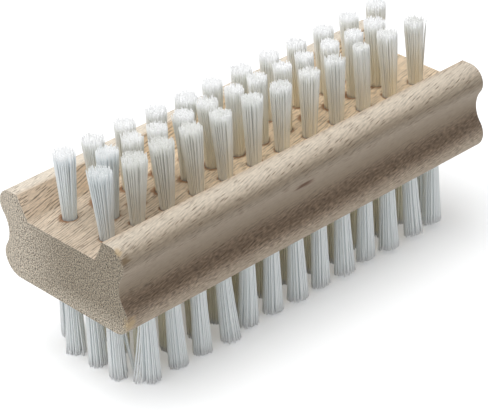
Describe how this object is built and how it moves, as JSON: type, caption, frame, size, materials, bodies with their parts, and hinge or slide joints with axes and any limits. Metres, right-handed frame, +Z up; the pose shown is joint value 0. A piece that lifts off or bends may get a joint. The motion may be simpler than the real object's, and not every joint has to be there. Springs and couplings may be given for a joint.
{
  "type": "nail brush",
  "caption": "Double-sided wooden nail brush: a grooved hardwood block with nylon tufts standing in a trough on top and a denser field of tufts underneath.",
  "frame": {"origin": "middle of the plane of the lower bristle tips, which the brush stands on", "axes": "+X along the block, +Y across it from front to back, +Z up towards the upper tufts"},
  "size_m": [0.095, 0.0358, 0.0446],
  "materials": {
    "beech_wood": "bare sanded hardwood with fine open pores",
    "upper_bristle": "translucent nylon filament, cut ends",
    "lower_bristle": "translucent nylon filament, cut ends",
    "anchor_wire": "flat drawn wire"
  },
  "bodies": {
    "root": {"lower_anchors_row_1": "anchor_wire", "lower_anchors_row_2": "anchor_wire", "lower_anchors_row_3": "anchor_wire", "lower_anchors_row_4": "anchor_wire", "lower_anchors_row_5": "anchor_wire", "lower_tufts_row_1": "lower_bristle", "lower_tufts_row_2": "lower_bristle", "lower_tufts_row_3": "lower_bristle", "lower_tufts_row_4": "lower_bristle", "lower_tufts_row_5": "lower_bristle", "upper_anchors_back": "anchor_wire", "upper_anchors_front": "anchor_wire", "upper_anchors_middle": "anchor_wire", "upper_tuft_back_01": "upper_bristle", "upper_tuft_back_02": "upper_bristle", "upper_tuft_back_03": "upper_bristle", "upper_tuft_back_04": "upper_bristle", "upper_tuft_back_05": "upper_bristle", "upper_tuft_back_06": "upper_bristle", "upper_tuft_back_07": "upper_bristle", "upper_tuft_back_08": "upper_bristle", "upper_tuft_back_09": "upper_bristle", "upper_tuft_back_10": "upper_bristle", "upper_tuft_back_11": "upper_bristle", "upper_tuft_back_12": "upper_bristle", "upper_tuft_front_01": "upper_bristle", "upper_tuft_front_02": "upper_bristle", "upper_tuft_front_03": "upper_bristle", "upper_tuft_front_04": "upper_bristle", "upper_tuft_front_05": "upper_bristle", "upper_tuft_front_06": "upper_bristle", "upper_tuft_front_07": "upper_bristle", "upper_tuft_front_08": "upper_bristle", "upper_tuft_front_09": "upper_bristle", "upper_tuft_front_10": "upper_bristle", "upper_tuft_front_11": "upper_bristle", "upper_tuft_front_12": "upper_bristle", "upper_tuft_middle_01": "upper_bristle", "upper_tuft_middle_02": "upper_bristle", "upper_tuft_middle_03": "upper_bristle", "upper_tuft_middle_04": "upper_bristle", "upper_tuft_middle_05": "upper_bristle", "upper_tuft_middle_06": "upper_bristle", "upper_tuft_middle_07": "upper_bristle", "upper_tuft_middle_08": "upper_bristle", "upper_tuft_middle_09": "upper_bristle", "upper_tuft_middle_10": "upper_bristle", "upper_tuft_middle_11": "upper_bristle", "upper_tuft_middle_12": "upper_bristle", "wood_block": "beech_wood"}
  },
  "joints": []
}
